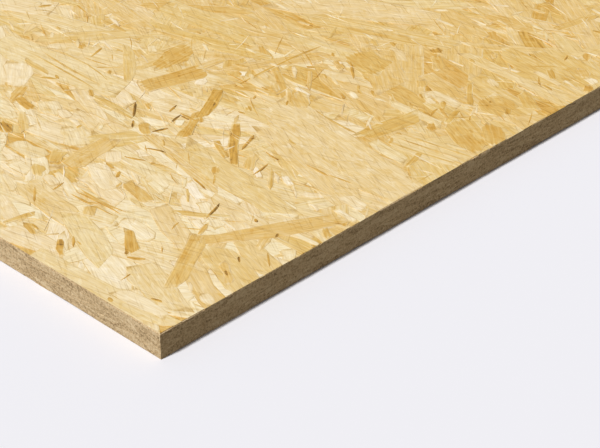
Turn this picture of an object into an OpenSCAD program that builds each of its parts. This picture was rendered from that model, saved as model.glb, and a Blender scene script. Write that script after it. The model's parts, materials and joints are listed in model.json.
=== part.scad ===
// Oriented strand board panel, one flat sheet with square-sawn edges.
// The sheet lies flat. The origin is the centre of its underside, X runs along
// the length, which is also the way the face strands mostly lie, and Z is up.

/* [Panel] */
// Length of the sheet, along the face strands
panel_length = 2440; // [1220:10:3050]
// Width of the sheet, across the face strands
panel_width = 1220; // [590:10:1500]
// Thickness of the pressed board
panel_thickness = 18; // [6:1:30]

/* [Sawn edges] */
// Width of the broken arris that the saw and handling leave round every edge
arris = 0.5; // [0.1:0.1:1.5]

/* [Hidden] */

// A rectangle centred on the origin with its four corners cut off at 45 degrees
module eased_rectangle(across, up, ease) {
    half_across = across / 2;
    half_up = up / 2;
    polygon([
        [-half_across + ease, -half_up],
        [half_across - ease, -half_up],
        [half_across, -half_up + ease],
        [half_across, half_up - ease],
        [half_across - ease, half_up],
        [-half_across + ease, half_up],
        [-half_across, half_up - ease],
        [-half_across, -half_up + ease]
    ]);
}

// The sheet seen from above, which eases the four upright corners
module plan_outline() {
    linear_extrude(panel_thickness, center = true)
        eased_rectangle(panel_length, panel_width, arris);
}

// The sheet's section across the strands, which eases the long edges
module cross_section() {
    rotate([90, 0, 90])
        linear_extrude(panel_length, center = true)
            eased_rectangle(panel_width, panel_thickness, arris);
}

// The sheet's section along the strands, which eases the short edges
module long_section() {
    rotate([90, 0, 0])
        linear_extrude(panel_width, center = true)
            eased_rectangle(panel_length, panel_thickness, arris);
}

// One pressed sheet, where the plan and the two sections meet
module osb_panel() {
    color("burlywood")
        translate([0, 0, panel_thickness / 2])
            intersection() {
                plan_outline();
                cross_section();
                long_section();
            }
}

osb_panel();
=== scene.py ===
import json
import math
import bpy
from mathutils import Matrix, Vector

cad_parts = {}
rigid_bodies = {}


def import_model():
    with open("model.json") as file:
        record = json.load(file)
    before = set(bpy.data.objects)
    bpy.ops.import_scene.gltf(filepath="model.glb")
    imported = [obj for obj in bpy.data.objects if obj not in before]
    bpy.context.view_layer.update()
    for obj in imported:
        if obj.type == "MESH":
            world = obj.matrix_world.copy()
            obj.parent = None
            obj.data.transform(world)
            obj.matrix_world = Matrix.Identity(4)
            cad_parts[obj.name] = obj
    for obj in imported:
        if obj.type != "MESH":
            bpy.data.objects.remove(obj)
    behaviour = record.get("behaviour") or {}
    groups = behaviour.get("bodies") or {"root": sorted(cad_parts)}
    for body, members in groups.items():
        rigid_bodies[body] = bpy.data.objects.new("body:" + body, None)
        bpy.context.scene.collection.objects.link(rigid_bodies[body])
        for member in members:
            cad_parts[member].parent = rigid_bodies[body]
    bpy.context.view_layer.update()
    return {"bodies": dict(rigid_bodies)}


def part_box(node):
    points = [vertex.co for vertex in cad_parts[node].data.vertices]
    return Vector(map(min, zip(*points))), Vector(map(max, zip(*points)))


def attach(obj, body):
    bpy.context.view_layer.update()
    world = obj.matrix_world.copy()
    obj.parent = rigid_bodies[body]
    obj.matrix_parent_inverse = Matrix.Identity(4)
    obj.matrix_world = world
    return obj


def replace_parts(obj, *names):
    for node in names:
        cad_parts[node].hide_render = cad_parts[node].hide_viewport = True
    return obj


bl_info = {
    "name": "Oriented Strand Board Panel",
    "version": (1, 0, 0),
    "blender": (4, 5, 0),
    "location": "3D View > Sidebar > Strand Board",
    "description": "Dresses a flat sheet of strand board with pressed strands and sawn edges",
    "category": "Add Mesh",
}

from typing import Callable, NamedTuple

import bmesh
import bpy
import numpy as np
from mathutils import Matrix, Vector

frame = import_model()

# The panel, in metres, as the frame gives it
PANEL_NODE = "osb_panel"
PANEL_LOW, PANEL_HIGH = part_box(PANEL_NODE)
PANEL_SIZE = PANEL_HIGH - PANEL_LOW
BODY = next(iter(frame["bodies"]))
MM = 0.001

# Mesh attributes that carry each strand's own grain into its material: the place along and across
# the grain with a seed, the place between its borders with its half width and half length, and its
# tone with the depth below its top, which darkens walls towards their foot as painted shade, and the
# strength of its growth rings
PLACE_ON_STRAND = "strand_place"
RIM_OF_STRAND = "strand_rim"
LOOK_OF_STRAND = "strand_look"
SAWN_WOOD = "Sawn pine strand ends"

# Strands that show beside the front corner, the topmost first. Each row has the two
# ends of its middle line, along and across the panel from that corner, and its width, all in
# millimetres, and its tone from 0, pale, to 1, dark.
FRONT_STRANDS = (
    # Slivers and dark spots
    (-112, 32, -103, 24, 1.5, 0.80),
    (-57, 29, -56, 20, 1, 0.80),
    (-77, 43, -74, 41, 2, 0.90),
    (-20, 70, -15, 67, 1.5, 0.85),
    (-25, 86, -20, 82, 1.5, 0.88),
    (-30, 20, -22, 22, 2, 0.78),
    (-48, 4, -43, 2, 2.5, 0.72),
    (-106, 30, -101, 29, 1.5, 0.80),
    (-78, 87, -75, 78, 1.2, 0.75),
    (-163, 68, -161, 57, 1.5, 0.82),
    (-150, 70, -110, 72, 1.5, 0.74),
    (-150, 66, -110, 68, 1.5, 0.76),
    (-150, 62, -112, 64, 1.5, 0.74),
    (-172, 52, -158, 40, 1.5, 0.74),
    (-76, 119, -69, 101, 2.2, 0.95),
    # Painted shadow: a thin dark line beside the pale strand that starts at (-108, 122)
    (-110, 128, -93, 124, 1.5, 0.76),
    (-48, 122, -44, 120, 2, 0.92),
    (-26, 120, -24, 116, 2, 0.92),
    (-88, 173, -85, 157, 1.5, 0.84),
    (-83, 171, -65, 152, 3, 0.64),
    (-102, 140, -95, 132, 1.5, 0.76),
    (-16, 101, -4, 91, 1.2, 0.78),
    (-207, 167, -193, 153, 2, 0.96),
    (-190, 150, -183, 143, 2, 0.96),
    (-173, 177, -170, 165, 1.6, 0.95),
    (-172, 176, -164, 176, 1.6, 0.92),
    (-166, 159, -170, 147, 1.6, 0.95),
    (-158, 131, -144, 137, 1.8, 0.97),
    (-148, 101, -144, 95, 2.5, 0.80),
    (-137, 93, -135, 87, 2.5, 0.80),
    (-162, 102, -153, 101, 3, 0.72),
    (-142, 124, -138, 122, 2.5, 0.78),
    (-210, 122, -208, 117, 2.5, 0.78),
    (-120, 192, -112, 173, 2.5, 0.87),
    (-305, 176, -240, 173, 1.5, 0.62),
    (-305, 169, -240, 166, 1.5, 0.62),
    (-305, 162, -240, 160, 1.5, 0.62),
    (-273, 154, -267, 152, 2.5, 0.76),
    (-241, 157, -233, 152, 3.5, 0.72),
    (-252, 184, -248, 180, 3.5, 0.78),
    (-280, 202, -275, 187, 2, 0.76),
    (-22, 232, -10, 222, 1.5, 0.70),
    (-70, 189, -50, 189, 2, 0.82),
    (-52, 190, -33, 193, 1.2, 0.76),
    (-50, 247, 0, 258, 1.5, 0.64),
    (-52, 254, 0, 264, 1.5, 0.64),
    (-48, 261, 0, 270, 1.5, 0.62),
    (-115, 243, -72, 240, 2, 0.64),
    (-100, 204, -92, 202, 2.5, 0.70),
    (-54, 252, -50, 245, 2.5, 0.72),
    (-162, 184, -156, 179, 3.5, 0.78),
    (-136, 239, -132, 234, 1.5, 0.84),
    (-162, 240, -155, 240, 1.5, 0.80),
    (-187, 244, -183, 241, 1.5, 0.80),
    (-156, 229, -154, 225, 1.5, 0.76),
    (-173, 312, -175, 228, 2.5, 0.82),
    (-37, 310, -33, 304, 2, 0.82),
    (-40, 333, -38, 331, 2, 0.84),
    (-80, 307, -75, 304, 3, 0.82),
    (-106, 288, -98, 284, 3, 0.78),
    (-115, 284, -107, 280, 2, 0.78),
    (-58, 301, -55, 291, 2, 0.76),
    (-144, 308, -125, 291, 2, 0.80),
    (-161, 308, -157, 305, 2.5, 0.80),
    (-179, 280, -170, 277, 3, 0.76),
    (-145, 282, -139, 279, 2, 0.80),
    (-117, 287, -110, 280, 3, 0.76),
    (-118, 271, -111, 267, 3, 0.76),
    (-44, 419, -40, 411, 2, 0.78),
    (-50, 390, -38, 401, 2, 0.74),
    (-38, 381, -30, 373, 1.5, 0.80),
    (-30, 374, -20, 373, 3, 0.76),
    (-89, 368, -82, 366, 3, 0.72),
    # Golden strands
    (-115, 24, -100, 13, 4.5, 0.84),
    (-30, 35, -60, 85, 12, 0.64),
    (-57, 80, -11, 159, 15, 0.63),
    (-32, 118, -24, 100, 7, 0.62),
    (-94, 60, -73, 44, 8, 0.72),
    (-28, 75, -8, 62, 6, 0.68),
    (-90, 92, -60, 113, 5, 0.62),
    (-143, 22, -130, 17, 5, 0.64),
    (-148, 32, -153, 12, 4.5, 0.64),
    (-139, 194, -102, 157, 6, 0.82),
    (-132, 170, -112, 160, 5, 0.74),
    (-103, 174, -92, 160, 8, 0.60),
    (-109, 148, -103, 141, 4.5, 0.74),
    (-10, 160, -3, 154, 7, 0.66),
    (-10, 144, -1, 138, 5, 0.70),
    (-181, 218, -161, 181, 9, 0.80),
    (-167, 189, -151, 157, 8, 0.74),
    (-182, 153, -169, 144, 8, 0.70),
    (-182, 124, -175, 82, 16, 0.59),
    (-190, 112, -170, 140, 15, 0.55),
    (-195, 92, -186, 79, 10, 0.64),
    (-192, 70, -181, 62, 8, 0.64),
    (-130, 62, -122, 52, 8, 0.64),
    (-135, 96, -108, 90, 8, 0.64),
    (-232, 153, -193, 152, 4.5, 0.60),
    (-251, 87, -235, 83, 9, 0.84),
    (-250, 106, -230, 92, 6, 0.58),
    (-268, 116, -248, 113, 7, 0.80),
    (-276, 130, -266, 110, 7, 0.70),
    (-305, 154, -278, 152, 5, 0.62),
    (-297, 196, -288, 191, 5, 0.74),
    (-270, 215, -232, 183, 8, 0.56),
    (-234, 208, -238, 246, 16, 0.72),
    (-218, 184, -207, 230, 19, 0.72),
    (-150, 215, -144, 212, 5, 0.78),
    (-149, 251, -133, 236, 3.5, 0.64),
    (-140, 250, -122, 240, 14, 0.62),
    (-160, 248, -150, 242, 6, 0.64),
    (-68, 240, -61, 285, 15, 0.68),
    (-29, 251, -23, 232, 5, 0.74),
    (-62, 311, -55, 303, 4.5, 0.76),
    (-47, 308, -41, 290, 5, 0.72),
    (-65, 342, -46, 319, 4.5, 0.75),
    (-49, 283, -41, 277, 6, 0.80),
    (-20, 310, 0, 292, 14, 0.72),
    (-40, 296, -2, 280, 24, 0.68),
    (-25, 334, -20, 327, 4.5, 0.76),
    (-45, 335, -20, 328, 24, 0.69),
    (-33, 358, -12, 345, 12, 0.69),
    (-116, 362, -108, 358, 8, 0.88),
    (-108, 354, -92, 341, 8, 0.68),
    (-92, 322, -84, 314, 7, 0.64),
    (-152, 302, -140, 296, 6, 0.70),
    (-150, 318, -118, 312, 25, 0.70),
    (-146, 336, -98, 297, 24, 0.60),
    (-36, 432, -28, 422, 5, 0.72),
    (-82, 386, -76, 380, 5, 0.70),
    (-40, 394, -29, 385, 4.5, 0.74),
    (-25, 410, -14, 402, 8, 0.64),
    (-6, 396, -1, 387, 6, 0.78),
    # Pale strands
    (-108, 122, -87, 114, 8, 0.02),
    (-85, 112, -68, 103, 8, 0.22),
    (-66, 105, -56, 100, 10, 0.26),
    (-74, 96, -62, 92, 6, 0.20),
    (-92, 164, -80, 157, 4.5, 0.08),
    (-71, 169, -59, 164, 5, 0.08),
    (-169, 172, -163, 166, 7, 0.05),
    (-199, 222, -192, 213, 8, 0.14),
    (-186, 247, -181, 241, 4.5, 0.06),
    (-146, 255, -130, 254, 4.5, 0.12),
    (-163, 190, -140, 195, 10, 0.20),
    (-170, 115, -158, 106, 12, 0.26),
    (-235, 126, -222, 122, 8, 0.24),
    (-178, 66, -164, 62, 8, 0.24),
    (-205, 60, -188, 60, 9, 0.26),
    (-105, 65, -75, 62, 14, 0.25),
    (-12, 45, 0, 40, 8, 0.30),
    (-50, 10, -10, 14, 10, 0.26),
    (-20, 164, -2, 163, 4.5, 0.22),
    (-28, 178, -8, 176, 10, 0.30),
    (-126, 106, -110, 102, 6, 0.24),
    (-10, 112, 0, 104, 8, 0.36),
    (-305, 147, -280, 124, 18, 0.27),
    (-258, 228, -250, 222, 6, 0.28),
    (-85, 284, -42, 286, 9, 0.36),
    (-78, 314, -50, 313, 9, 0.38),
    (-73, 306, -64, 303, 6, 0.30),
    (-115, 276, -105, 273, 5, 0.24),
    (-60, 355, -50, 351, 6, 0.40),
    (-138, 342, -118, 334, 9, 0.44),
    (-14, 402, -4, 400, 7, 0.20),
    (-44, 385, -20, 382, 5, 0.40),
    # Broad strands below the others
    (-212, 116, -190, 104, 18, 0.33),
    (-250, 126, -232, 118, 14, 0.33),
    (-168, 96, -135, 84, 14, 0.28),
    (-96, 371, 0, 363, 11, 0.46),
    (-60, 240, -28, 236, 10, 0.36),
    (-55, 252, 0, 263, 22, 0.46),
    (-115, 5, 0, 12, 15, 0.38),
    (-60, 40, -10, 22, 20, 0.40),
    (-130, 48, -78, 28, 18, 0.37),
    (-40, 60, 5, 40, 16, 0.53),
    (-45, 82, 5, 66, 22, 0.54),
    (-80, 392, -20, 388, 22, 0.62),
    (-100, 90, -52, 70, 16, 0.42),
    (-40, 100, 5, 88, 16, 0.50),
    (-340, 160, -225, 172, 28, 0.37),
    (-140, 232, 5, 208, 38, 0.43),
    (-120, 205, -20, 175, 26, 0.46),
    (-140, 150, -40, 138, 24, 0.48),
    (-232, 100, -196, 106, 20, 0.32),
    (-224, 76, -196, 80, 14, 0.34),
    (-200, 46, -178, 38, 12, 0.33),
    (-182, 50, -128, 44, 20, 0.46),
    (-182, 30, -152, 18, 14, 0.36),
    (-150, 8, -100, 14, 18, 0.33),
    (-228, 168, -206, 163, 14, 0.32),
    (-158, 82, -120, 76, 14, 0.32),
    (-132, 112, -112, 106, 14, 0.34),
    (-226, 130, -200, 126, 10, 0.34),
    (-95, 330, -55, 322, 14, 0.60),
    (-70, 345, -10, 336, 20, 0.60),
    (-60, 412, -5, 400, 22, 0.60),
)


def linear(colour):
    """An sRGB hex colour such as e7ca91 as linear red, green and blue."""
    shares = [int(colour[i:i + 2], 16) / 255 for i in (0, 2, 4)]
    return [s / 12.92 if s <= 0.04045 else ((s + 0.055) / 1.055) ** 2.4 for s in shares]


class OSB_StrandSizes(bpy.types.PropertyGroup):
    """Sizes of the strands and of the relief that pressing and sawing leave."""

    seed: bpy.props.IntProperty(
        name="Seed", description="Start of the random draws that lay the strands", default=7)
    skin: bpy.props.FloatProperty(
        name="Skin", description="Thickness of the layer of strands that is modelled one by one",
        default=0.9 * MM, unit="LENGTH")
    relief: bpy.props.FloatProperty(
        name="Relief", description="Height from the highest face strand to the lowest that shows",
        default=0.55 * MM, unit="LENGTH")
    saw_relief: bpy.props.FloatProperty(
        name="Saw relief", description="Depth of the torn hollows between strand ends on a sawn edge",
        default=0.3 * MM, unit="LENGTH")
    arris: bpy.props.FloatProperty(
        name="Arris", description="Width of the broken arris along every sawn edge",
        default=0.4 * MM, unit="LENGTH")
    draft: bpy.props.FloatProperty(
        name="Feathering", description="How far a strand's sides spread on their way down",
        default=0.4 * MM, unit="LENGTH")
    strands: bpy.props.IntProperty(
        name="Face strands", description="Strands strewn over the top before gaps are filled",
        default=12000)
    flakes: bpy.props.IntProperty(
        name="Flakes", description="Small flakes and splinters strewn over the top", default=13000)
    under_strands: bpy.props.IntProperty(
        name="Underside strands", description="Strands strewn over the underside before gaps are filled",
        default=3000)
    under_flakes: bpy.props.IntProperty(
        name="Underside flakes", description="Small flakes and splinters strewn over the underside",
        default=2166)
    strand_ends: bpy.props.IntProperty(
        name="Strand ends", description="Strand ends strewn over each metre of a sawn edge", default=900)


class OSB_WoodColours(bpy.types.PropertyGroup):
    """Colours of the strands, of the sawn edges and of the gaps between strands."""

    cream: bpy.props.FloatVectorProperty(
        name="Sapwood", description="The palest strands", subtype="COLOR",
        default=linear("fff1d6"))
    straw: bpy.props.FloatVectorProperty(
        name="Pale wood", description="Most pale strands", subtype="COLOR",
        default=linear("f8e5be"))
    wheat: bpy.props.FloatVectorProperty(
        name="Common wood", description="Strands of middle tone", subtype="COLOR",
        default=linear("ebce94"))
    golden: bpy.props.FloatVectorProperty(
        name="Heartwood", description="Golden strands", subtype="COLOR",
        default=linear("e3be74"))
    honey: bpy.props.FloatVectorProperty(
        name="Dark heartwood", description="Deep golden strands", subtype="COLOR",
        default=linear("d6a54c"))
    # Amber is also painted on the walls of strands and at the bottom of gaps, as painted shade
    amber: bpy.props.FloatVectorProperty(
        name="Resinous wood", description="Amber strands and slivers", subtype="COLOR",
        default=linear("b68a44"))
    # This colour also paints the bottom of gaps, partly as painted shade
    bark_and_gap_shade: bpy.props.FloatVectorProperty(
        name="Gaps", description="Dark gaps and slivers of bark", subtype="COLOR",
        default=linear("80602a"))
    rosy_tint: bpy.props.FloatVectorProperty(
        name="Rosy tint", description="Tint of the rosiest strands", subtype="COLOR",
        default=linear("fffeff"))
    green_tint: bpy.props.FloatVectorProperty(
        name="Green tint", description="Tint of the greenest strands", subtype="COLOR",
        default=linear("fdfef8"))
    sawn_pale: bpy.props.FloatVectorProperty(
        name="Sawn pale", description="Palest strand ends on a sawn edge", subtype="COLOR",
        default=linear("ead3ac"))
    sawn: bpy.props.FloatVectorProperty(
        name="Sawn", description="Common colour of a sawn edge", subtype="COLOR",
        default=linear("d3b78c"))
    # Reached by dark strand ends, and by pits and strand feet darkened as painted shade
    sawn_dark: bpy.props.FloatVectorProperty(
        name="Sawn dark", description="Hollows and dark strand ends on a sawn edge", subtype="COLOR",
        default=linear("8d7350"))


class OSB_Stage(bpy.types.PropertyGroup):
    """Floor, light and camera around the panel."""

    floor: bpy.props.FloatVectorProperty(
        name="Floor", description="Colour of the floor and backdrop", subtype="COLOR",
        default=linear("f2f1f6"))
    bounce: bpy.props.FloatVectorProperty(
        name="Bounce", description="Colour of the floor to the light that bounces off it", subtype="COLOR",
        default=linear("867d6a"))
    key_strength: bpy.props.FloatProperty(
        name="Key light", description="Strength of the soft key light", default=3.1)
    key_angle: bpy.props.FloatProperty(
        name="Key softness", description="Angle that the key light spans in the sky",
        default=math.radians(6), subtype="ANGLE")
    key_direction: bpy.props.FloatVectorProperty(
        name="Key direction", description="Way from the panel to the key light", subtype="DIRECTION",
        default=(-0.07, -0.60, 0.79))
    fill_strength: bpy.props.FloatProperty(
        name="Fill light", description="Strength of the even light from all round", default=0.2)
    azimuth: bpy.props.FloatProperty(
        name="Camera azimuth", description="Way round from the long front edge to the camera",
        default=math.radians(44.51), subtype="ANGLE")
    elevation: bpy.props.FloatProperty(
        name="Camera elevation", description="Height of the camera above the horizon",
        default=math.radians(32.74), subtype="ANGLE")
    distance: bpy.props.FloatProperty(
        name="Camera distance", description="Distance from the camera to the front corner",
        default=1.2506, unit="LENGTH")
    corner_left: bpy.props.FloatProperty(
        name="Corner to the left", description="How far the front corner lies left of the middle",
        default=78.7 * MM, unit="LENGTH")
    corner_down: bpy.props.FloatProperty(
        name="Corner below", description="How far the front corner lies below the middle",
        default=77.0 * MM, unit="LENGTH")
    lens: bpy.props.FloatProperty(
        name="Lens", description="Focal length on a sensor 36 mm wide", default=132.47)


class Side(NamedTuple):
    """One flat side of the panel: a corner, the ways it runs from there, and its size."""

    corner: Vector
    along: Vector
    across: Vector
    length: float
    width: float

    def points(self, flat, depth):
        """Places on the side, sunk below it by depth, as rows of x, y and z."""
        out = self.along.cross(self.across)
        sunk = np.array(self.corner) - np.outer(depth, out)
        return sunk + np.outer(flat[:, 0], self.along) + np.outer(flat[:, 1], self.across)


class Strand(NamedTuple):
    """One strand on a side: its middle, turn, length, width and tone."""

    x: float
    y: float
    turn: float
    length: float
    width: float
    tone: float

    def to_side(self, outline):
        """An outline along the strand's own grain, turned and moved to its place on the side."""
        cos, sin = math.cos(self.turn), math.sin(self.turn)
        return outline @ np.array([[cos, sin], [-sin, cos]]) + (self.x, self.y)

    def to_grain(self, places):
        """Places on the side as distances along and across this strand's grain."""
        cos, sin = math.cos(self.turn), math.sin(self.turn)
        return (places - (self.x, self.y)) @ np.array([[cos, -sin], [sin, cos]])


class StrandKind(NamedTuple):
    """A size class of strands: its share of all, its ranges of length and width, and its outline.

    The blunt range is the width of an end as a share of the strand's own width.
    """

    share: float
    length: tuple
    width: tuple
    stations: tuple
    blunt: tuple = (0.06, 0.9)


POINTED = (0.0, 0.0)
SPLIT_OFF = (0.2, 0.85)
SQUARE_CUT = (0.6, 0.95)
LONG_STATIONS = (-1.0, -0.62, 0.05, 0.64, 1.0)
SHORT_STATIONS = (-1.0, -0.5, 0.5, 1.0)
FLAKE_STATIONS = (-1.0, -0.1, 1.0)
FACE_KINDS = (
    StrandKind(0.20, (60 * MM, 130 * MM), (13 * MM, 32 * MM), LONG_STATIONS),
    StrandKind(0.40, (32 * MM, 95 * MM), (6 * MM, 16 * MM), LONG_STATIONS),
    StrandKind(0.40, (16 * MM, 50 * MM), (2.5 * MM, 8 * MM), SHORT_STATIONS),
)
FACE_FILL_KIND = StrandKind(1.0, (60 * MM, 120 * MM), (20 * MM, 40 * MM), SHORT_STATIONS)
FLAKE_KINDS = (
    StrandKind(0.45, (4 * MM, 16 * MM), (1.2 * MM, 3.8 * MM), FLAKE_STATIONS),
    StrandKind(0.55, (7 * MM, 30 * MM), (0.5 * MM, 1.3 * MM), FLAKE_STATIONS, POINTED),
)
EDGE_KINDS = (
    StrandKind(0.5, (9 * MM, 30 * MM), (1.1 * MM, 2.4 * MM), FLAKE_STATIONS),
    StrandKind(0.5, (4 * MM, 12 * MM), (0.9 * MM, 2.0 * MM), FLAKE_STATIONS),
)
EDGE_FILL_KIND = StrandKind(1.0, (20 * MM, 45 * MM), (2.8 * MM, 5 * MM), FLAKE_STATIONS)
# Listed strands that are no wider than this have pointed ends
SLIVER = 4 * MM
# Others have square ends if they are longer than this many widths, and split ends if not
CHIP = 2.4
# How far a strand's stations shift, as a share of its half length, and how far it bows, of its length
STATION_SHIFT = 0.08
BOW = 0.025
# How far its ends slant, as a share of their own half width, and at most, of the strand's half length
SLANT = 0.8
MOST_SLANT = 0.22
# How ragged its borders are, as a share of its width, and at most
RAGGED = 0.09
MOST_RAGGED = 1.2 * MM
# The widest turn of a strand that lies astray, in radians
MOST_STRAY_TURN = 1.5
# Points of a cut strand that are nearer than this are one point
WELD = 0.01 * MM
# Cells that lie this many cells deep inside a strand's outline are surely hidden by it
SURE_CELLS = 0.6
# Each face is made in this many bands, so that no piece is too heavy
BANDS = 4
# Shape and scale of the random margins at which the saw broke off face strands, in widths of arris
MARGIN_SHAPE, MARGIN_SCALE = 1.5, 0.6
# Least and most margins of strand ends on a sawn edge from its two ends and from its long borders,
# in depths of saw relief
LEAST_END_MARGINS, MOST_END_MARGINS = (0.1, -1.0), (0.9, -0.1)
# How far the sides of strand ends on a sawn edge spread on their way down
END_DRAFT = 0.1 * MM
# Flakes sink by up to this share of a level of strands
FLAKE_SINK = 0.8
# Seeds that set the grain of strands apart run up to this
MOST_SEED = 500
# Middle and spread of the strength of growth rings
RING_STRENGTH = (0.03, 0.05)
# Tone that most strands have, which shows through the feathered borders of all
MEAN_TONE = 0.47
RING_SPACING = 3.0 * MM
# Most of a noise pattern lies between these values
NOISE_LOW, NOISE_HIGH = 0.3, 0.7
# How far apart paler stretches lie beside the front corner, how far from it they fade out, and by
# how much they are paler
DRIFT_LENGTH = 800 * MM
DRIFT_REACH = 700 * MM
DRIFT_DEPTH = 0.2
# Middle and spread of the tones of common, golden and pale face strands, their shares and their range
FACE_TONES = ((0.46, 0.09), (0.66, 0.06), (0.3, 0.05))
FACE_TONE_SHARES = (0.89, 0.07, 0.04)
FACE_TONE_RANGE = (0.2, 0.74)
# Tones of golden to brown flakes, their share, and the tones of the other flakes
BROWN_FLAKE_TONES = (0.52, 0.82)
BROWN_FLAKE_SHARE = 0.3
PALE_FLAKE_TONES = (0.2, 0.46)
# Middle and spread of the tones of strand ends on a sawn edge
EDGE_TONE = (0.43, 0.13)


class Litter(NamedTuple):
    """A layer of flakes or hairs too small to be laid one by one.

    It has their spacing along and across, their turn, the share of places that hold one, and the
    least and most that one adds to the tone or shade.
    """

    length: float
    width: float
    turn: float
    share: float
    low: float
    high: float


FLAKE_LITTER = (
    Litter(15 * MM, 4.0 * MM, 0.1, 0.4, -0.08, 0.08),
    Litter(10 * MM, 3.0 * MM, 0.8, 0.4, -0.08, 0.08),
    Litter(9 * MM, 2.6 * MM, -0.7, 0.4, -0.08, 0.08),
)
HAIR_LITTER = (
    Litter(24 * MM, 1.0 * MM, 0.3, 0.3, -0.1, 0.2),
    Litter(18 * MM, 0.9 * MM, -0.5, 0.3, -0.1, 0.2),
)


def top_side():
    """The upper face, from the left end of its front border."""
    return Side(Vector((PANEL_LOW.x, PANEL_LOW.y, PANEL_HIGH.z)), Vector((1, 0, 0)), Vector((0, 1, 0)),
                PANEL_SIZE.x, PANEL_SIZE.y)


def under_side():
    """The underside, from the left end of its back border."""
    return Side(Vector((PANEL_LOW.x, PANEL_HIGH.y, PANEL_LOW.z)), Vector((1, 0, 0)), Vector((0, -1, 0)),
                PANEL_SIZE.x, PANEL_SIZE.y)


def sawn_sides(skin):
    """The four sawn edges between the strands of the two faces, by name."""
    up = Vector((0, 0, 1))
    low = PANEL_LOW.z + skin
    height = PANEL_SIZE.z - 2 * skin
    return {
        "front": Side(Vector((PANEL_LOW.x, PANEL_LOW.y, low)), Vector((1, 0, 0)), up, PANEL_SIZE.x, height),
        "right": Side(Vector((PANEL_HIGH.x, PANEL_LOW.y, low)), Vector((0, 1, 0)), up, PANEL_SIZE.y, height),
        "back": Side(Vector((PANEL_HIGH.x, PANEL_HIGH.y, low)), Vector((-1, 0, 0)), up, PANEL_SIZE.x, height),
        "left": Side(Vector((PANEL_LOW.x, PANEL_HIGH.y, low)), Vector((0, -1, 0)), up, PANEL_SIZE.y, height),
    }


def face_tone(rng, x, y):
    """Mostly middling tones, with a few golden and pale strands.

    Beside the front corner the strands are paler, and a little farther in they are more golden.
    """
    from_corner = math.hypot(x - PANEL_SIZE.x, y)
    drift = math.cos(math.tau * y / DRIFT_LENGTH) * math.exp(-(from_corner / DRIFT_REACH) ** 2)
    middle, spread = rng.choice(FACE_TONES, p=FACE_TONE_SHARES)
    return float(np.clip(rng.normal(middle, spread) - DRIFT_DEPTH * drift, *FACE_TONE_RANGE))


def flake_tone(rng, x, y):
    """Flakes and splinters are golden to brown, or pale."""
    brown = rng.random() < BROWN_FLAKE_SHARE
    return rng.uniform(*(BROWN_FLAKE_TONES if brown else PALE_FLAKE_TONES))


def edge_tone(rng, x, y):
    """Strand ends on a sawn edge are of all tones round a middle one."""
    return float(np.clip(rng.normal(*EDGE_TONE), 0.0, 1.0))


class Layer(NamedTuple):
    """How strands are strewn: their kinds, the spread of their turns, the share astray, and their tones."""

    kinds: tuple
    spread: float
    stray: float
    tones: Callable

    def draw_kinds(self, rng, count):
        """The kinds of that many strands, drawn by their shares."""
        shares = [kind.share for kind in self.kinds]
        return [self.kinds[index] for index in rng.choice(len(self.kinds), count, p=shares)]

    def draw_strand(self, rng, kind, side):
        """A strand of one kind at a random place on a side, mostly along it."""
        straight = rng.random() > self.stray
        turn = rng.normal(0, self.spread) if straight else rng.uniform(-MOST_STRAY_TURN, MOST_STRAY_TURN)
        x, y = rng.uniform(0, side.length), rng.uniform(0, side.width)
        return Strand(x, y, turn, rng.uniform(*kind.length), rng.uniform(*kind.width), self.tones(rng, x, y))


class Cover(NamedTuple):
    """How a side is covered: its strewn strands, those that fill the gaps, and the size of its cells.

    A strewn strand is laid if at least a given number of its cells would show.
    """

    strewn: Layer
    fill: Layer
    cell: float
    least_shown: int


FACE_COVER = Cover(
    strewn=Layer(FACE_KINDS, spread=0.42, stray=0.18, tones=face_tone),
    fill=Layer((FACE_FILL_KIND,), spread=0.21, stray=0.0, tones=face_tone),
    cell=1.5 * MM, least_shown=10)
FLAKES = Layer(FLAKE_KINDS, spread=0.6, stray=0.2, tones=flake_tone)
EDGE_COVER = Cover(
    strewn=Layer(EDGE_KINDS, spread=0.2, stray=0.03, tones=edge_tone),
    fill=Layer((EDGE_FILL_KIND,), spread=0.1, stray=0.0, tones=edge_tone),
    cell=0.5 * MM, least_shown=8)


def strand_strip(rng, strand, stations, blunt_range):
    """A strand as a strip of stations along its grain, each with a point on either border.

    Returns rows of the place along and across the grain, the share of the way from one border to
    the other, from -1 to 1, and the half width. The rows of one border come first, then the other's.
    """
    half, side = strand.length / 2, strand.width / 2
    at = np.array(stations)
    inner = abs(at) < 1
    at = at + inner * rng.uniform(-STATION_SHIFT, STATION_SHIFT, len(at))
    blunt = rng.uniform(*blunt_range, 2)
    end = np.where(at < 0, blunt[0], blunt[1])
    width = side * (end + (1 - end) * np.sqrt(np.maximum(1 - abs(at) ** 3, 0)))
    bow = rng.normal(0, BOW) * strand.length * (1 - at * at)
    slant = np.clip(rng.normal(0, SLANT, 2) * side * blunt, -MOST_SLANT * half, MOST_SLANT * half)
    lean = np.where(inner, 0, np.where(at < 0, slant[0], slant[1]))
    ragged = min(RAGGED * strand.width, MOST_RAGGED)
    borders = []
    for way in (-1, 1):
        across = way * width + bow + rng.normal(0, ragged, len(at)) * inner
        borders.append(np.column_stack([at * half + way * lean, across, np.full(len(at), way), width]))
    return np.concatenate(borders)


def clip_to_side(corners, low, high):
    """The part of a polygon inside a rectangle; columns after the first two are carried along."""
    for axis in (0, 1):
        for limit, way in ((low[axis], 1), (high[axis], -1)):
            inside = way * (corners[:, axis] - limit) >= 0
            if inside.all():
                continue
            kept = []
            for i in range(len(corners)):
                here, there = corners[i - 1], corners[i]
                if inside[i] != inside[i - 1]:
                    share = (limit - here[axis]) / (there[axis] - here[axis])
                    kept.append(here + share * (there - here))
                if inside[i]:
                    kept.append(there)
            if len(kept) < 3:
                return np.empty((0, corners.shape[1]))
            corners = np.array(kept)
    return corners


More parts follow.
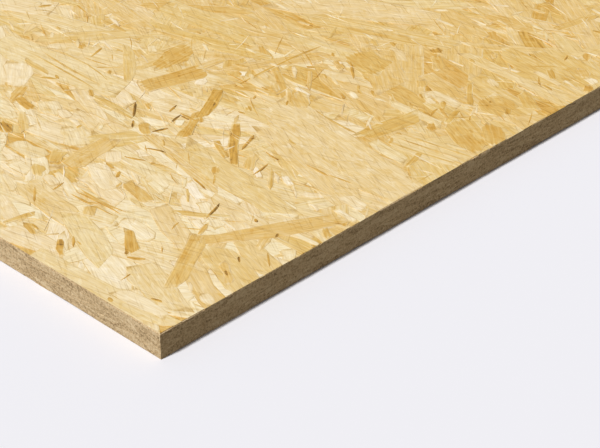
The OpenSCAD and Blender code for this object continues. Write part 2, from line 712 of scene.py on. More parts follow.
def spread_outline(outline, distance):
    """The outline with each corner moved outwards, so that its sides move by about that distance."""
    # Sides shorter than this have no way of their own, and corners sharper than this move less far
    shortest, sharpest = 1e-9, 0.5
    edges = np.roll(outline, -1, axis=0) - outline
    edges /= np.maximum(np.linalg.norm(edges, axis=1), shortest)[:, None]
    normals = np.stack([edges[:, 1], -edges[:, 0]], axis=1)
    before = np.roll(normals, 1, axis=0)
    lean = np.maximum(1 + (normals * before).sum(1), sharpest)
    return outline + distance * (normals + before) / lean[:, None]


class Mat:
    """How many strands lie over each small cell of a side, counted from the top down."""

    def __init__(self, side, cell):
        self.cell = cell
        cells = (int(side.width / cell) + 1, int(side.length / cell) + 1)
        self.levels = np.full(cells, -1, np.int16)
        self.covered = np.zeros(cells, bool)

    def lay(self, strand, strip, least_shown):
        """Pushes a strand in below those already laid and returns its level, or None if they hide it."""
        reach = math.hypot(strand.length, strand.width) / 2
        rows, columns = self.levels.shape
        left = max(int((strand.x - reach) / self.cell), 0)
        right = min(int((strand.x + reach) / self.cell) + 2, columns)
        low = max(int((strand.y - reach) / self.cell), 0)
        high = min(int((strand.y + reach) / self.cell) + 2, rows)
        if left >= right or low >= high:
            return None
        x = (np.arange(left, right) + 0.5) * self.cell - strand.x
        y = (np.arange(low, high)[:, None] + 0.5) * self.cell - strand.y
        cos, sin = math.cos(strand.turn), math.sin(strand.turn)
        along, across = cos * x + sin * y, cos * y - sin * x
        one, other = np.split(strip, 2)
        from_one = across - np.interp(along, one[:, 0], one[:, 1])
        from_other = np.interp(along, other[:, 0], other[:, 1]) - across
        start, end = max(one[0, 0], other[0, 0]), min(one[-1, 0], other[-1, 0])
        from_ends = np.minimum(along - start, end - along)
        inside = np.minimum(np.minimum(from_one, from_other), from_ends)
        sure = inside > SURE_CELLS * self.cell
        covered = self.covered[low:high, left:right]
        if np.count_nonzero(sure & ~covered) < least_shown:
            return None
        covered |= sure
        slanted = max(abs(one[0, 0] - other[0, 0]), abs(one[-1, 0] - other[-1, 0]))
        near = inside > -self.cell - slanted
        levels = self.levels[low:high, left:right]
        level = int(levels[near].max(initial=-1)) + 1
        levels[near] = level
        return level


class StrandMesh:
    """Gathers strands as closed prisms with sloping sides, to become one mesh."""

    def __init__(self, side, skin, draft):
        self.side, self.skin, self.draft = side, skin, draft
        self.points, self.faces, self.sawn = [], [], []
        self.places, self.rims, self.looks = [], [], []
        self.count = 0

    def add(self, strand, strip, margin, depth, seed, rings):
        """Adds one strand whose top lies at a depth below the side and whose foot is at the skin's depth.

        The strand is cut off at the two margins from the side's ends and from its long borders.
        """
        low = np.array(margin)
        high = np.array((self.side.length, self.side.width)) - margin
        corners, faces = self.cut(np.column_stack([strand.to_side(strip[:, :2]), strip[:, 2:]]), low, high)
        rim = outline_of(faces) if faces else []
        if not rim:
            return
        foot = corners[:, :2].copy()
        foot[rim] = spread_outline(corners[rim, :2], self.draft).clip(low, high)
        flat = np.concatenate([corners[:, :2], foot])
        top = len(corners)
        both = 2 * top
        self.points.append(self.side.points(flat, np.repeat((depth, self.skin), top)))
        self.places.append(np.column_stack([strand.to_grain(flat), np.full(both, seed)]))
        half_length = np.full(both, strand.length / 2)
        self.rims.append(np.column_stack([np.tile(corners[:, 2:], (2, 1)), half_length]))
        tone, ring = np.full(both, strand.tone), np.full(both, rings)
        # Depth runs from 0 at the top to 1 at the foot, where the materials paint shade
        self.looks.append(np.column_stack([tone, np.repeat((0.0, 1.0), top), ring]))
        self.faces += [[i + self.count for i in face] for face in faces]
        self.faces += [[i + self.count + top for i in reversed(face)] for face in faces]
        self.sawn += [False] * (2 * len(faces))
        near_low, near_high = corners[:, :2] < low + WELD, corners[:, :2] > high - WELD
        for here, there in zip(rim, rim[1:] + rim[:1]):
            self.faces.append([i + self.count for i in (here + top, there + top, there, here)])
            at_margin = near_low[here] & near_low[there] | near_high[here] & near_high[there]
            self.sawn.append(bool(at_margin.any()))
        self.count += both

    def cut(self, strip, low, high):
        """The strip's points and faces, cut off where they would pass a rectangle."""
        stations = len(strip) // 2
        quads = [[i, i + 1, stations + i + 1, stations + i] for i in range(stations - 1)]
        pointed = strip[0, 3] == 0
        if not pointed and (strip[:, :2] >= low).all() and (strip[:, :2] <= high).all():
            return strip, quads
        found, corners, faces = {}, [], []
        for quad in quads:
            face = []
            for corner in clip_to_side(strip[quad], low, high):
                key = tuple(np.round(corner[:2] / WELD).astype(int))
                if key not in found:
                    found[key] = len(corners)
                    corners.append(corner)
                if found[key] not in face:
                    face.append(found[key])
            if len(face) > 2:
                faces.append(face)
        used = sorted({i for face in faces for i in face})
        place = {old: new for new, old in enumerate(used)}
        return np.array([corners[i] for i in used]), [[place[i] for i in face] for face in faces]

    def build(self, name, materials):
        """Makes the gathered strands into an object that rides on the panel."""
        mesh = bpy.data.meshes.new(name)
        mesh.from_pydata(np.concatenate(self.points).tolist(), [], self.faces)
        for attribute, rows in (
                (PLACE_ON_STRAND, self.places), (RIM_OF_STRAND, self.rims), (LOOK_OF_STRAND, self.looks)):
            layer = mesh.attributes.new(attribute, "FLOAT_VECTOR", "POINT")
            layer.data.foreach_set("vector", np.concatenate(rows).astype(np.float32).ravel())
        for material in materials:
            mesh.materials.append(material)
        if len(materials) > 1:
            mesh.polygons.foreach_set("material_index", np.array(self.sawn, np.int32))
        return place_piece(name, mesh)


def outline_of(faces):
    """The corners round a group of joined faces, in order, or none if they aren't one whole patch."""
    ways = {(here, there) for face in faces for here, there in zip(face, face[1:] + face[:1])}
    sides = [(here, there) for here, there in ways if (there, here) not in ways]
    after = dict(sides)
    rim = sides[0][:1]
    for step in sides[1:]:
        rim += (after[rim[-1]],)
    whole = len(set(rim)) == len(sides) and after[rim[-1]] == rim[0]
    return list(rim) if whole else []


def place_piece(name, mesh):
    """Adds a finished mesh to the scene as a piece of the panel."""
    piece = bpy.data.objects.new(name, mesh)
    bpy.context.scene.collection.objects.link(piece)
    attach(piece, BODY)
    return piece


def add_node(tree, kind, settings=None, links=None):
    """Adds a node with its settings, and links or sets its inputs.

    A node that is given for an input stands for its own first output.
    """
    node = tree.nodes.new(kind)
    for name, value in (settings or {}).items():
        setattr(node, name, value)
    for socket, value in (links or {}).items():
        if isinstance(value, bpy.types.Node):
            value = value.outputs[0]
        if isinstance(value, bpy.types.NodeSocket):
            tree.links.new(value, node.inputs[socket])
        else:
            node.inputs[socket].default_value = value
    return node


def new_material(name):
    """An empty node material with its shader and output."""
    material = bpy.data.materials.new(name)
    material.use_nodes = True
    tree = material.node_tree
    tree.nodes.clear()
    shader = add_node(tree, "ShaderNodeBsdfPrincipled")
    add_node(tree, "ShaderNodeOutputMaterial", links={"Surface": shader})
    return material, tree, shader


def rgba(colour):
    """A linear colour with full opacity."""
    return (*colour, 1.0)


def pressed_strand_material(colours):
    """Pine strands, knife-cut along the grain, then pressed flat with a little resin and wax.

    The eye sees a different tone on each strand, fine streaks and faint growth rings along its
    grain, feathered borders with dark lines of painted shadow here and there, and small flakes
    pressed over them all. The walls of strands are painted darker towards their foot, as painted shade.
    """
    # How ragged a border is, where it starts and ends fading in, and the half width of crisp slivers
    ragged_by, fade_start, fade_end, crisp_half = 2.0 * MM, 0.9 * MM, 1.9 * MM, 1.4 * MM
    # The share of the distance from an end that counts, so that ends fray farther in than sides
    end_share = 0.35
    # How many spacings the rings wander by, and the height of the wave at which a ring starts
    ring_wander, ring_start = 5, 0.1
    # Width and strength of the dark lines of painted shadow at borders, and the noise at which they start and
    # are full
    line_width, line_strength, line_start, line_full = 0.7 * MM, 0.24, 0.46, 0.6
    # How far a strand's walls turn amber towards their foot as painted shade, and how shade dims red, green
    # and blue
    wall_shade_share, shade_dims = 0.6, (-0.8, -1.0, -1.3)
    # Roughness of smooth and rough streaks, and the weak gloss of waxed wood
    smooth, rough, gloss = 0.5, 0.8, 0.2
    # Width over which borders are rounded, and the relief of borders and fibres
    rounding, relief, fibre_share, relief_strength = 0.9 * MM, 0.15 * MM, 0.5, 0.5

    material, tree, shader = new_material("Pressed pine strands")
    place = add_node(tree, "ShaderNodeAttribute", {"attribute_name": PLACE_ON_STRAND}).outputs["Vector"]
    rim = add_node(tree, "ShaderNodeAttribute", {"attribute_name": RIM_OF_STRAND}).outputs["Vector"]
    look = add_node(tree, "ShaderNodeAttribute", {"attribute_name": LOOK_OF_STRAND}).outputs["Vector"]
    where = add_node(tree, "ShaderNodeTexCoord").outputs["Object"]
    at = add_node(tree, "ShaderNodeSeparateXYZ", links={"Vector": place}).outputs
    rim_of = add_node(tree, "ShaderNodeSeparateXYZ", links={"Vector": rim}).outputs
    look_of = add_node(tree, "ShaderNodeSeparateXYZ", links={"Vector": look}).outputs

    # Noise stretched along the grain: long streaks, short fibres, the wander of the rings and patches
    noises = {}
    for name, length, width, detail in (
            ("streak", 36 * MM, 1.7 * MM, 2.0), ("fibre", 10 * MM, 0.8 * MM, 2.0),
            ("wander", 70 * MM, 12 * MM, 1.0), ("patch", 12 * MM, 7 * MM, 2.0)):
        stretched = add_node(
            tree, "ShaderNodeVectorMath", {"operation": "MULTIPLY"},
            {0: place, 1: (1 / length, 1 / width, 1.0)})
        noises[name] = add_node(
            tree, "ShaderNodeTexNoise", links={"Vector": stretched, "Scale": 1.0, "Detail": detail})

    # Distance from the border, ragged by the fibres. Slivers are crisp, broader strands fade in.
    between = add_node(tree, "ShaderNodeMath", {"operation": "ABSOLUTE"}, {0: rim_of["X"]})
    inner = add_node(tree, "ShaderNodeMath", {"operation": "SUBTRACT"}, {0: 1.0, 1: between})
    from_side = add_node(tree, "ShaderNodeMath", {"operation": "MULTIPLY"}, {0: inner, 1: rim_of["Y"]})
    along = add_node(tree, "ShaderNodeMath", {"operation": "ABSOLUTE"}, {0: at["X"]})
    from_end = add_node(tree, "ShaderNodeMath", {"operation": "SUBTRACT"}, {0: rim_of["Z"], 1: along})
    frayed_end = add_node(tree, "ShaderNodeMath", {"operation": "MULTIPLY"}, {0: from_end, 1: end_share})
    from_border = add_node(tree, "ShaderNodeMath", {"operation": "MINIMUM"}, {0: from_side, 1: frayed_end})
    ragged = add_node(
        tree, "ShaderNodeMath", {"operation": "MULTIPLY_ADD"},
        {0: noises["streak"], 1: ragged_by, 2: from_border})
    narrow = add_node(tree, "ShaderNodeMath", {"operation": "SUBTRACT"}, {0: crisp_half, 1: rim_of["Y"]})
    crisp = add_node(tree, "ShaderNodeMath", {"operation": "MAXIMUM"}, {0: narrow, 1: 0.0})
    reach = add_node(tree, "ShaderNodeMath", {"operation": "ADD"}, {0: ragged, 1: crisp})
    feather = add_node(
        tree, "ShaderNodeMapRange", {"interpolation_type": "SMOOTHSTEP"},
        {"Value": reach, "From Min": fade_start, "From Max": fade_end})
    own_tone = add_node(
        tree, "ShaderNodeMix", {"data_type": "FLOAT"},
        {"Factor": feather, "A": MEAN_TONE, "B": look_of["X"]})

    # Growth rings, thin and wandering
    phase = add_node(
        tree, "ShaderNodeMath", {"operation": "MULTIPLY_ADD"},
        {0: at["Y"], 1: math.tau / RING_SPACING, 2: at["Z"]})
    wandering = add_node(
        tree, "ShaderNodeMath", {"operation": "MULTIPLY_ADD"},
        {0: noises["wander"], 1: ring_wander * math.tau, 2: phase})
    wave = add_node(tree, "ShaderNodeMath", {"operation": "SINE"}, {0: wandering})
    ring = add_node(
        tree, "ShaderNodeMapRange", {"interpolation_type": "SMOOTHSTEP"},
        {"Value": wave, "From Min": ring_start, "From Max": 1.0})
    ring_tone = add_node(tree, "ShaderNodeMath", {"operation": "MULTIPLY"}, {0: ring, 1: look_of["Z"]})

    # Painted shadow: dark lines where a border stands clear of the strand below
    line = add_node(
        tree, "ShaderNodeMapRange", {"interpolation_type": "SMOOTHSTEP"},
        {"Value": from_border, "From Min": line_width, "From Max": 0.0})
    lifted = add_node(
        tree, "ShaderNodeMapRange", links={
            "Value": noises["patch"], "From Min": line_start, "From Max": line_full,
            "To Max": line_strength})
    painted_border_shadow = add_node(tree, "ShaderNodeMath", {"operation": "MULTIPLY"}, {0: line, 1: lifted})

    # Each point's tone is the sum of its strand, rings, broad grain and flakes. Fine fibres, hairs
    # and the painted shadow of border lines only shade it.
    tones, shades = [own_tone, ring_tone], [painted_border_shadow]
    for noise, amount, shares in (("streak", 0.08, tones), ("patch", 0.05, tones), ("fibre", 0.1, shades)):
        shares.append(add_node(
            tree, "ShaderNodeMapRange", {"clamp": False},
            {"Value": noises[noise], "From Min": NOISE_LOW, "From Max": NOISE_HIGH,
             "To Min": -amount, "To Max": amount}))
    tones += [litter_share(tree, where, litter) for litter in FLAKE_LITTER]
    shades += [litter_share(tree, where, litter) for litter in HAIR_LITTER]
    sums = []
    for first, *others in (tones, shades):
        total = first
        for share in others:
            total = add_node(tree, "ShaderNodeMath", {"operation": "ADD"}, {0: total, 1: share})
        sums.append(total)
    tone, shade = sums

    ramp = add_node(tree, "ShaderNodeValToRGB", links={"Fac": tone})
    stops = (
        (0.0, colours.cream), (0.22, colours.straw), (0.46, colours.wheat), (0.64, colours.golden),
        (0.82, colours.honey), (0.93, colours.amber), (1.0, colours.bark_and_gap_shade))
    while len(ramp.color_ramp.elements) < len(stops):
        ramp.color_ramp.elements.new(0.5)
    for element, (position, colour) in zip(ramp.color_ramp.elements, stops):
        element.position = position
        element.color = rgba(colour)
    # Painted shade: each strand's walls turn amber towards their foot
    sunk = add_node(tree, "ShaderNodeMath", {"operation": "MULTIPLY"}, {0: look_of["Y"], 1: wall_shade_share})
    wall_shaded_colour = add_node(
        tree, "ShaderNodeMix", {"data_type": "RGBA"},
        {"Factor": sunk, "A": ramp, "B": rgba(colours.amber)})
    chance = add_node(tree, "ShaderNodeTexWhiteNoise", {"noise_dimensions": "1D"}, {"W": at["Z"]})
    tint = add_node(
        tree, "ShaderNodeMix", {"data_type": "RGBA"},
        {"Factor": chance, "A": rgba(colours.rosy_tint), "B": rgba(colours.green_tint)})
    tinted = add_node(
        tree, "ShaderNodeMix", {"data_type": "RGBA", "blend_type": "MULTIPLY"},
        {"Factor": 1.0, 6: wall_shaded_colour.outputs[2], 7: tint.outputs[2]})
    kept = add_node(
        tree, "ShaderNodeVectorMath", {"operation": "MULTIPLY_ADD"},
        {0: shade, 1: shade_dims, 2: (1.0, 1.0, 1.0)})
    shaded = add_node(
        tree, "ShaderNodeMix", {"data_type": "RGBA", "blend_type": "MULTIPLY"},
        {"Factor": 1.0, 6: tinted.outputs[2], 7: kept})
    tree.links.new(shaded.outputs[2], shader.inputs["Base Color"])

    sheen = add_node(
        tree, "ShaderNodeMapRange", links={"Value": noises["streak"], "To Min": smooth, "To Max": rough})
    tree.links.new(sheen.outputs["Result"], shader.inputs["Roughness"])
    shader.inputs["Specular IOR Level"].default_value = gloss
    rounded = add_node(
        tree, "ShaderNodeMapRange", {"interpolation_type": "SMOOTHSTEP"},
        {"Value": from_border, "From Max": rounding, "To Max": 1.0})
    height = add_node(
        tree, "ShaderNodeMath", {"operation": "MULTIPLY_ADD"},
        {0: noises["fibre"], 1: fibre_share, 2: rounded})
    bump = add_node(
        tree, "ShaderNodeBump", links={"Strength": relief_strength, "Distance": relief, "Height": height})
    tree.links.new(bump.outputs["Normal"], shader.inputs["Normal"])
    return material


def litter_share(tree, where, litter):
    """What one layer of litter adds to the tone or shade at each place on the board."""
    # How far a flake reaches from its middle, the share of that where it is full, and how it is bent
    reach, full_share, bend_scale, bend = 0.46, 0.8, 0.8, (0.5, 0.5, 0.0)
    turned = add_node(
        tree, "ShaderNodeMapping", {"vector_type": "TEXTURE"},
        {"Vector": where, "Rotation": (0, 0, litter.turn), "Scale": (litter.length, litter.width, 1.0)})
    bent = add_node(
        tree, "ShaderNodeTexNoise", links={"Vector": turned, "Scale": bend_scale, "Detail": 1.0})
    moved = add_node(
        tree, "ShaderNodeVectorMath", {"operation": "MULTIPLY_ADD"},
        {0: bent.outputs["Color"], 1: bend, 2: turned})
    flake = add_node(
        tree, "ShaderNodeTexVoronoi", {"voronoi_dimensions": "2D"}, {"Vector": moved, "Scale": 1.0})
    chance = add_node(
        tree, "ShaderNodeSeparateColor", links={"Color": flake.outputs["Color"]}).outputs
    there = add_node(
        tree, "ShaderNodeMath", {"operation": "LESS_THAN"}, {0: chance["Red"], 1: litter.share})
    body = add_node(
        tree, "ShaderNodeMapRange", {"interpolation_type": "SMOOTHSTEP"},
        {"Value": flake.outputs["Distance"], "From Min": reach, "From Max": full_share * reach})
    amount = add_node(
        tree, "ShaderNodeMapRange",
        links={"Value": chance["Green"], "To Min": litter.low, "To Max": litter.high})
    shown = add_node(tree, "ShaderNodeMath", {"operation": "MULTIPLY"}, {0: there, 1: body})
    return add_node(tree, "ShaderNodeMath", {"operation": "MULTIPLY"}, {0: shown, 1: amount})


def sawn_end_material(colours):
    """Strand ends cut by a circular saw: rough, torn and browned, with short fibres and pits darkened as
    painted shade.

    The eye sees thin layers of beige and brown, broken by specks, with hardly any sheen.
    """
    fibre_length, fibre_width, fibre_strength = 3.5 * MM, 0.6 * MM, 0.12
    grit, grit_strength, grit_relief = 1.2 * MM, 0.34, 0.2 * MM
    # Size and strength of the pits, darkened as painted shade, and the noise at which they start and are full
    pit, pit_shade_strength, pit_start, pit_full = 2.5 * MM, 0.3, 0.6, 0.72
    # How much darker the foot of a strand end is than its top, as painted shade
    foot_shade_strength = 0.04
    material, tree, shader = new_material(SAWN_WOOD)
    place = add_node(tree, "ShaderNodeAttribute", {"attribute_name": PLACE_ON_STRAND}).outputs["Vector"]
    look = add_node(tree, "ShaderNodeAttribute", {"attribute_name": LOOK_OF_STRAND}).outputs["Vector"]
    look_of = add_node(tree, "ShaderNodeSeparateXYZ", links={"Vector": look}).outputs
    where = add_node(tree, "ShaderNodeTexCoord").outputs["Object"]
    fibre_place = add_node(
        tree, "ShaderNodeVectorMath", {"operation": "MULTIPLY"},
        {0: place, 1: (1 / fibre_length, 1 / fibre_width, 1.0)})
    fibre = add_node(
        tree, "ShaderNodeTexNoise", links={"Vector": fibre_place, "Scale": 1.0, "Detail": 2.0})
    grain = add_node(
        tree, "ShaderNodeTexNoise",
        links={"Vector": where, "Scale": 1 / grit, "Detail": 2.0, "Roughness": 0.6})
    tone = look_of["X"]
    for noise, strength in ((fibre, fibre_strength), (grain, grit_strength)):
        share = add_node(
            tree, "ShaderNodeMapRange", {"clamp": False},
            {"Value": noise, "From Min": NOISE_LOW, "From Max": NOISE_HIGH,
             "To Min": -strength, "To Max": strength})
        tone = add_node(tree, "ShaderNodeMath", {"operation": "ADD"}, {0: tone, 1: share})
    # Painted shade: small pits darkened in the colour
    pits = add_node(tree, "ShaderNodeTexNoise", links={"Vector": where, "Scale": 1 / pit, "Detail": 1.0})
    painted_pit_shade = add_node(
        tree, "ShaderNodeMapRange", {"interpolation_type": "SMOOTHSTEP"},
        {"Value": pits, "From Min": pit_start, "From Max": pit_full, "To Max": pit_shade_strength})
    pitted = add_node(tree, "ShaderNodeMath", {"operation": "ADD"}, {0: tone, 1: painted_pit_shade})
    # Painted shade: the foot of each strand end is darker than its top
    sunk = add_node(
        tree, "ShaderNodeMath", {"operation": "MULTIPLY_ADD"},
        {0: look_of["Y"], 1: foot_shade_strength, 2: pitted})
    ramp = add_node(tree, "ShaderNodeValToRGB", links={"Fac": sunk})
    ramp.color_ramp.elements.new(0.5)
    for element, (position, colour) in zip(ramp.color_ramp.elements, (
            (0.0, colours.sawn_pale), (0.45, colours.sawn), (1.0, colours.sawn_dark))):
        element.position = position
        element.color = rgba(colour)
    tree.links.new(ramp.outputs["Color"], shader.inputs["Base Color"])
    shader.inputs["Roughness"].default_value = 0.85
    bump = add_node(
        tree, "ShaderNodeBump", links={"Strength": 0.5, "Distance": grit_relief, "Height": grain})
    tree.links.new(bump.outputs["Normal"], shader.inputs["Normal"])
    return material


def core_material(colours):
    """Pressed strands seen only at the bottom of gaps: brown, rough and matt. The brown is partly resin and
    partly painted shade of the gaps.
    """
    clump = 6 * MM
    material, tree, shader = new_material("Pressed strands in the gaps")
    where = add_node(tree, "ShaderNodeTexCoord").outputs["Object"]
    clumps = add_node(
        tree, "ShaderNodeTexNoise", links={"Vector": where, "Scale": 1 / clump, "Detail": 3.0})
    # Dark browns at the bottom of gaps, partly resin and partly painted shade
    mixed = add_node(
        tree, "ShaderNodeMix", {"data_type": "RGBA"},
        {"Factor": clumps, "A": rgba(colours.amber), "B": rgba(colours.bark_and_gap_shade)})
    tree.links.new(mixed.outputs[2], shader.inputs["Base Color"])
    shader.inputs["Roughness"].default_value = 0.9
    return material


def front_strands():
    """The listed strands beside the front corner, on the top side."""
    corner_x = PANEL_SIZE.x
    for x0, y0, x1, y1, width, tone in FRONT_STRANDS:
        yield Strand(
            corner_x + (x0 + x1) / 2 * MM, (y0 + y1) / 2 * MM, math.atan2(y1 - y0, x1 - x0),
            math.hypot(x1 - x0, y1 - y0) * MM, width * MM, tone)


def lay_side(side, placed, cover, count, rng):
    """Strands of a side from the top down with their strips and levels, without those that others hide.

    The second result marks the cells under placed strands, which stay free of flakes.
    """
    mat = Mat(side, cover.cell)
    laid = []
    for strand in placed:
        ends = SQUARE_CUT if strand.length > CHIP * strand.width else SPLIT_OFF
        strip = strand_strip(rng, strand, LONG_STATIONS, ends if strand.width > SLIVER else POINTED)
        laid.append((strand, strip, mat.lay(strand, strip, 0)))
    bare = mat.covered.copy()
    for kind in cover.strewn.draw_kinds(rng, count):
        strand = cover.strewn.draw_strand(rng, kind, side)
        strip = strand_strip(rng, strand, kind.stations, kind.blunt)
        level = mat.lay(strand, strip, cover.least_shown)
        if level is not None:
            laid.append((strand, strip, level))
    fill_kind = cover.fill.kinds[0]
    while not mat.covered.all():
        for row, column in rng.permutation(np.argwhere(~mat.covered)):
            if not mat.covered[row, column]:
                drawn = cover.fill.draw_strand(rng, fill_kind, side)
                strand = drawn._replace(x=(column + 0.5) * cover.cell, y=(row + 0.5) * cover.cell)
                strip = strand_strip(rng, strand, fill_kind.stations, fill_kind.blunt)
                laid.append((strand, strip, mat.lay(strand, strip, 0)))
    return laid, bare


def make_face(name, side, placed, sizes, count, flakes, materials, rng):
    """Makes one face of the panel from strands, in bands that run its full length."""
    cell = FACE_COVER.cell
    laid, bare = lay_side(side, placed, FACE_COVER, count, rng)
    step = sizes.relief / (1 + max(level for strand, strip, level in laid))
    meshes = [StrandMesh(side, sizes.skin, sizes.draft) for band in range(BANDS)]
    for index, (strand, strip, level) in enumerate(laid):
        band = min(max(int(strand.y / side.width * BANDS), 0), BANDS - 1)
        rings = 0.0 if index < len(placed) else max(rng.normal(*RING_STRENGTH), 0.0)
        margin = sizes.arris * rng.gamma(MARGIN_SHAPE, MARGIN_SCALE, 2)
        meshes[band].add(strand, strip, margin, step * (level + 1), rng.uniform(0, MOST_SEED), rings)
    for kind in FLAKES.draw_kinds(rng, flakes):
        strand = FLAKES.draw_strand(rng, kind, side)
        band = min(int(strand.y / side.width * BANDS), BANDS - 1)
        strip = strand_strip(rng, strand, kind.stations, kind.blunt)
        margin = sizes.arris * rng.gamma(MARGIN_SHAPE, MARGIN_SCALE, 2)
        depth, seed = step * rng.uniform(0, FLAKE_SINK), rng.uniform(0, MOST_SEED)
        if not bare[int(strand.y / cell), int(strand.x / cell)]:
            meshes[band].add(strand, strip, margin, depth, seed, 0.0)
    for band, mesh in enumerate(meshes):
        mesh.build(f"{name}_{band + 1}", materials)


class OSB_OT_press_core(bpy.types.Operator):
    """Makes the pressed core that shows only at the bottom of gaps, with roughly sawn sides."""

    bl_idname = "osb.press_core"
    bl_label = "Pressed Core"

    def execute(self, context):
        sizes = context.scene.osb_sizes
        rng = np.random.default_rng(sizes.seed)
        pitch, least_cuts = 40 * MM, 2
        half = 0.5
        low = np.array(PANEL_LOW) + sizes.skin
        high = np.array(PANEL_HIGH) - sizes.skin
        core = bmesh.new()
        bmesh.ops.create_cube(core, size=2 * half)
        for axis in range(3):
            across = [edge for edge in core.edges if abs((edge.verts[0].co - edge.verts[1].co)[axis]) > half]
            cuts = int((high - low)[axis] / pitch) + least_cuts
            bmesh.ops.subdivide_edges(core, edges=across, cuts=cuts, use_grid_fill=True)
        for vert in core.verts:
            place = np.array(vert.co)
            torn = rng.uniform(0, sizes.saw_relief, 3) * np.sign(-place) * np.isclose(abs(place), half)
            torn[2] = 0.0
            vert.co = Vector(low + (place + half) * (high - low) + torn)
        mesh = bpy.data.meshes.new("pressed_core")
        core.to_mesh(mesh)
        core.free()
        mesh.materials.append(core_material(context.scene.osb_colours))
        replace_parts(place_piece("pressed_core", mesh), PANEL_NODE)
        return {"FINISHED"}


class OSB_OT_lay_faces(bpy.types.Operator):
    """Lays the strands of the top face and of the underside, pressed flat."""

    bl_idname = "osb.lay_faces"
    bl_label = "Face Strands"

    def execute(self, context):
        sizes, colours = context.scene.osb_sizes, context.scene.osb_colours
        materials = (pressed_strand_material(colours), sawn_end_material(colours))
        rng = np.random.default_rng(sizes.seed + 1)
        make_face(
            "top_strands", top_side(), list(front_strands()), sizes, sizes.strands, sizes.flakes,
            materials, rng)
        make_face(
            "under_strands", under_side(), (), sizes, sizes.under_strands, sizes.under_flakes,
            materials, rng)
        return {"FINISHED"}


class OSB_OT_saw_edges(bpy.types.Operator):
    """Makes the four sawn edges, where strands show cut across and along."""

    bl_idname = "osb.saw_edges"
    bl_label = "Sawn Edges"

    def execute(self, context):
        sizes = context.scene.osb_sizes
        rng = np.random.default_rng(sizes.seed + 2)
        for name, side in sawn_sides(sizes.skin).items():
            self.saw(name, side, sizes, bpy.data.materials[SAWN_WOOD], rng)
        return {"FINISHED"}

    def saw(self, name, side, sizes, material, rng):
        """Makes one sawn edge from the ends of strands."""
        laid, _ = lay_side(side, (), EDGE_COVER, int(side.length * sizes.strand_ends), rng)
        step = sizes.saw_relief / (1 + max(level for strand, strip, level in laid))
        mesh = StrandMesh(side, sizes.skin, END_DRAFT)
        for strand, strip, level in laid:
            margin = sizes.saw_relief * rng.uniform(LEAST_END_MARGINS, MOST_END_MARGINS)
            mesh.add(strand, strip, margin, step * (level + 0.5), rng.uniform(0, MOST_SEED), 0.0)
        mesh.build(f"{name}_sawn_edge", (material,))


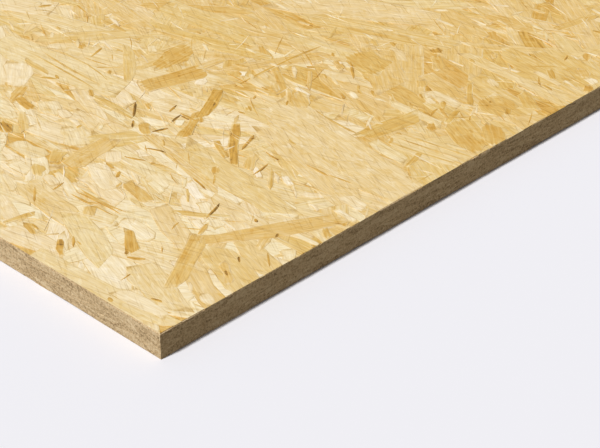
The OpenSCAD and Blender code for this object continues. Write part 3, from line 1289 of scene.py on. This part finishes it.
class OSB_OT_set_stage(bpy.types.Operator):
    """Sets the floor, the light and the camera."""

    bl_idname = "osb.set_stage"
    bl_label = "Stage"

    def execute(self, context):
        stage = context.scene.osb_stage
        self.lay_floor(stage)
        self.light(context.scene, stage)
        self.place_camera(context.scene, stage)
        context.scene.view_settings.view_transform = "Standard"
        return {"FINISHED"}

    def lay_floor(self, stage):
        """A wide pale floor, dimmer to the light that bounces off it than to the eye."""
        reach = 60.0
        mesh = bpy.data.meshes.new("floor")
        corners = [(-reach, -reach, 0), (reach, -reach, 0), (reach, reach, 0), (-reach, reach, 0)]
        mesh.from_pydata(corners, [], [(0, 1, 2, 3)])
        floor = bpy.data.objects.new("floor", mesh)
        floor.location.z = PANEL_LOW.z
        bpy.context.scene.collection.objects.link(floor)
        material, tree, shader = new_material("Pale matt floor")
        seen = seen_directly(tree)
        mixed = add_node(
            tree, "ShaderNodeMix", {"data_type": "RGBA"},
            {"Factor": seen, "A": rgba(stage.bounce), "B": rgba(stage.floor)})
        tree.links.new(mixed.outputs[2], shader.inputs["Base Color"])
        shader.inputs["Roughness"].default_value = 1.0
        shader.inputs["Specular IOR Level"].default_value = 0.0
        mesh.materials.append(material)

    def light(self, scene, stage):
        """A soft key light from the upper left, and an even fill from all round."""
        key = bpy.data.lights.new("key", "SUN")
        key.energy = stage.key_strength
        key.angle = stage.key_angle
        lamp = bpy.data.objects.new("key", key)
        lamp.rotation_mode = "QUATERNION"
        lamp.rotation_quaternion = Vector(stage.key_direction).to_track_quat("Z", "Y")
        scene.collection.objects.link(lamp)
        world = bpy.data.worlds.new("Even light")
        world.use_nodes = True
        tree = world.node_tree
        tree.nodes.clear()
        seen = seen_directly(tree)
        backdrop = add_node(
            tree, "ShaderNodeBackground", links={"Color": rgba(stage.floor), "Strength": 1.0})
        fill = add_node(
            tree, "ShaderNodeBackground",
            links={"Color": rgba(linear("ffffff")), "Strength": stage.fill_strength})
        both = add_node(tree, "ShaderNodeMixShader", links={0: seen, 1: fill, 2: backdrop})
        add_node(tree, "ShaderNodeOutputWorld", links={"Surface": both})
        scene.world = world

    def place_camera(self, scene, stage):
        """A camera that looks down on the front corner."""
        farthest_seen = 200.0
        level_way = Vector((math.sin(stage.azimuth), -math.cos(stage.azimuth), 0))
        back = level_way * math.cos(stage.elevation) + Vector((0, 0, math.sin(stage.elevation)))
        right = Vector((math.cos(stage.azimuth), math.sin(stage.azimuth), 0))
        up = back.cross(right)
        corner = Vector((PANEL_HIGH.x, PANEL_LOW.y, PANEL_LOW.z))
        camera = bpy.data.objects.new("camera", bpy.data.cameras.new("camera"))
        camera.data.lens = stage.lens
        camera.data.clip_end = farthest_seen
        camera.matrix_world = Matrix.Translation(
            corner + stage.corner_left * right + stage.corner_down * up + stage.distance * back
        ) @ Matrix((right, up, back)).transposed().to_4x4()
        scene.collection.objects.link(camera)
        scene.camera = camera


def seen_directly(tree):
    """A factor that is 1 for rays from the camera, reflections and glass, and 0 for bounced light."""
    rays = add_node(tree, "ShaderNodeLightPath").outputs
    either = add_node(
        tree, "ShaderNodeMath", {"operation": "MAXIMUM"},
        {0: rays["Is Camera Ray"], 1: rays["Is Glossy Ray"]})
    return add_node(
        tree, "ShaderNodeMath", {"operation": "MAXIMUM"}, {0: either, 1: rays["Is Transmission Ray"]})


OPERATORS = (OSB_OT_press_core, OSB_OT_lay_faces, OSB_OT_saw_edges, OSB_OT_set_stage)


class OSB_PT_panel(bpy.types.Panel):
    """Lists the steps that dress the panel, with their sizes and colours."""

    bl_idname = "OSB_PT_panel"
    bl_label = "Strand Board"
    bl_space_type = "VIEW_3D"
    bl_region_type = "UI"
    bl_category = "Strand Board"

    def draw(self, context):
        for group in (context.scene.osb_sizes, context.scene.osb_colours, context.scene.osb_stage):
            for name in group.__annotations__:
                self.layout.prop(group, name)
        for operator in OPERATORS:
            self.layout.operator(operator.bl_idname)


GROUPS = {"osb_sizes": OSB_StrandSizes, "osb_colours": OSB_WoodColours, "osb_stage": OSB_Stage}


def register():
    """Registers the classes and hangs the groups of values on the scene."""
    for group in GROUPS.values():
        bpy.utils.register_class(group)
    for name, group in GROUPS.items():
        setattr(bpy.types.Scene, name, bpy.props.PointerProperty(type=group))
    for operator in OPERATORS:
        bpy.utils.register_class(operator)
    bpy.utils.register_class(OSB_PT_panel)


def unregister():
    """Takes the groups of values and the classes away again."""
    bpy.utils.unregister_class(OSB_PT_panel)
    for operator in reversed(OPERATORS):
        bpy.utils.unregister_class(operator)
    for name, group in reversed(GROUPS.items()):
        delattr(bpy.types.Scene, name)
        bpy.utils.unregister_class(group)


def main():
    """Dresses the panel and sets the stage."""
    register()
    bpy.ops.osb.press_core()
    bpy.ops.osb.lay_faces()
    bpy.ops.osb.saw_edges()
    bpy.ops.osb.set_stage()


if __name__ == "__main__":
    main()
